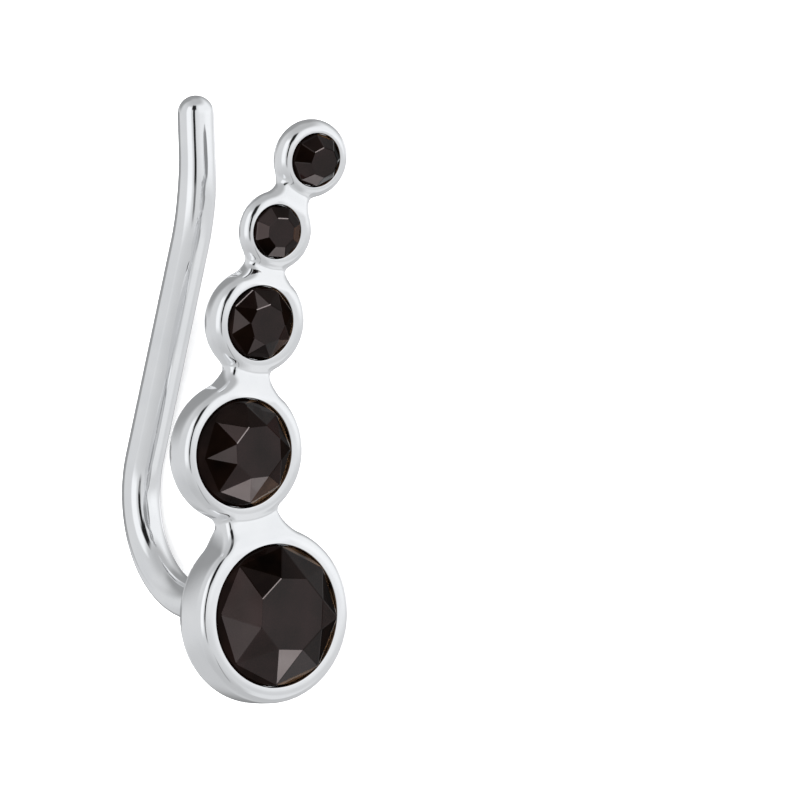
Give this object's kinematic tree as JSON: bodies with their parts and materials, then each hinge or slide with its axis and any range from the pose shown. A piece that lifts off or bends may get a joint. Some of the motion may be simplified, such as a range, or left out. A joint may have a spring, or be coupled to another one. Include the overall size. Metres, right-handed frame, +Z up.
{
  "type": "ear climber",
  "caption": "Ear climber: a rising line of round bezel cups that grow smaller to the top, each with a faceted black crystal, and a bent round ear wire behind.",
  "frame": {"origin": "middle of the footprint, on the surface that the climber lies on", "axes": "+X along the line of cups from the largest to the smallest, -Y the way the cups face, +Z up from the surface"},
  "size_m": [0.0168, 0.0082, 0.0052],
  "materials": {
    "silver": "polished",
    "crystal": "polished"
  },
  "bodies": {
    "root": {"silver_frame": "silver", "stone_1": "crystal", "stone_2": "crystal", "stone_3": "crystal", "stone_4": "crystal", "stone_5": "crystal"}
  },
  "joints": []
}
